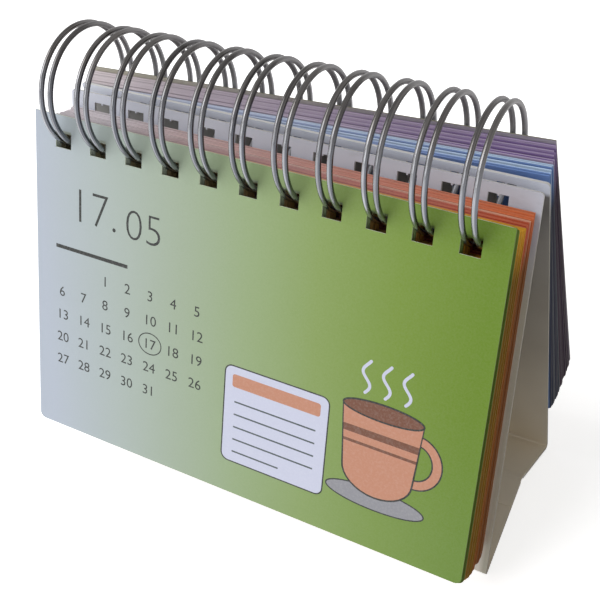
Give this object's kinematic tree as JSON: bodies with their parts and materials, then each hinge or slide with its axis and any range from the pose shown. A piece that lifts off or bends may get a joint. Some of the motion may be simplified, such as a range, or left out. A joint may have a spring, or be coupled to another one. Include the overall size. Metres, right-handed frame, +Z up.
{
  "type": "desk calendar",
  "caption": "Free-standing desk calendar: punched leaves hang on a twin-loop wire over a folded board tent, the dated pack in front and the turned pack behind.",
  "frame": {"origin": "on the ground under the middle of the calendar's bounding box", "axes": "+X to the reader's right, +Y away from the reader, +Z up"},
  "size_m": [0.1502, 0.0862, 0.1419],
  "materials": {
    "board": "laminated board, satin",
    "wire": "bright plated steel wire",
    "top_leaf": "coated paper, printed in a fade from pale grey-blue to green",
    "green_paper": "coated paper",
    "gold_paper": "coated paper",
    "red_paper": "coated paper",
    "orange_paper": "coated paper",
    "blue_paper": "coated paper",
    "violet_paper": "coated paper",
    "last_leaf": "coated card"
  },
  "bodies": {
    "root": {"stand_front_panel": "board", "wire_binding": "wire"},
    "back_panel": {"stand_back_panel": "board"},
    "base_front": {"stand_base_front_half": "board"},
    "base_rear": {"stand_base_rear_half": "board"},
    "orange_pack": {"orange_leaves_1": "orange_paper", "orange_leaves_2": "orange_paper"},
    "red_pack": {"red_leaves_1": "red_paper", "red_leaves_2": "red_paper"},
    "gold_pack": {"gold_leaves_1": "gold_paper", "gold_leaves_2": "gold_paper", "gold_leaves_3": "gold_paper"},
    "green_pack": {"green_leaves_1": "green_paper"},
    "top_margin": {"top_leaf_margin": "top_leaf"},
    "top_sheet": {"top_leaf_sheet": "top_leaf"},
    "blue_pack": {"blue_leaves_1": "blue_paper", "blue_leaves_2": "blue_paper"},
    "violet_pack": {"violet_leaves_1": "violet_paper", "violet_leaves_2": "violet_paper", "violet_leaves_3": "violet_paper"},
    "last_leaf": {"last_leaf": "last_leaf"}
  },
  "joints": [
    {"name": "stand_fold", "type": "hinge", "parent": "root", "child": "back_panel", "pos_m": [0, -0.01267, 0.1228], "axis": [-1, 0, 0], "range_deg": [0, 9]},
    {"name": "front_crease", "type": "hinge", "parent": "root", "child": "base_front", "pos_m": [0, -0.02484, 0.00045], "axis": [1, 0, 0], "range_deg": [0, 25]},
    {"name": "rear_crease", "type": "hinge", "parent": "back_panel", "child": "base_rear", "pos_m": [0, 0.03404, 0.00045], "axis": [-1, 0, 0], "range_deg": [0, 33]},
    {"name": "orange_lift", "type": "hinge", "parent": "root", "child": "orange_pack", "pos_m": [0, -0.01267, 0.1228], "axis": [1, 0, 0], "range_deg": [-6, 0]},
    {"name": "red_lift", "type": "hinge", "parent": "orange_pack", "child": "red_pack", "pos_m": [0, -0.01267, 0.1228], "axis": [1, 0, 0], "range_deg": [-6, 0]},
    {"name": "gold_lift", "type": "hinge", "parent": "red_pack", "child": "gold_pack", "pos_m": [0, -0.01267, 0.1228], "axis": [1, 0, 0], "range_deg": [-6, 0]},
    {"name": "green_lift", "type": "hinge", "parent": "gold_pack", "child": "green_pack", "pos_m": [0, -0.01267, 0.1228], "axis": [1, 0, 0], "range_deg": [-6, 0]},
    {"name": "top_leaf_turn", "type": "hinge", "parent": "green_pack", "child": "top_margin", "pos_m": [0, -0.01267, 0.1228], "axis": [-1, 0, 0], "range_deg": [0, 192]},
    {"name": "top_leaf_bend", "type": "hinge", "parent": "top_margin", "child": "top_sheet", "pos_m": [0, -0.02711, 0.10474], "axis": [-1, 0, 0], "range_deg": [0, 130]},
    {"name": "blue_lift", "type": "hinge", "parent": "back_panel", "child": "blue_pack", "pos_m": [0, -0.01267, 0.1228], "axis": [-1, 0, 0], "range_deg": [-5, 0]},
    {"name": "violet_lift", "type": "hinge", "parent": "blue_pack", "child": "violet_pack", "pos_m": [0, -0.01267, 0.1228], "axis": [-1, 0, 0], "range_deg": [-5, 0]},
    {"name": "last_leaf_turn", "type": "hinge", "parent": "violet_pack", "child": "last_leaf", "pos_m": [0, -0.01267, 0.1228], "axis": [-1, 0, 0], "range_deg": [-140, 0]}
  ],
  "couplings": [
    {"joint": "front_crease", "follows": "stand_fold", "ratio": 2.61},
    {"joint": "rear_crease", "follows": "stand_fold", "ratio": 3.53},
    {"joint": "top_leaf_bend", "follows": "top_leaf_turn", "ratio": 0.67}
  ]
}
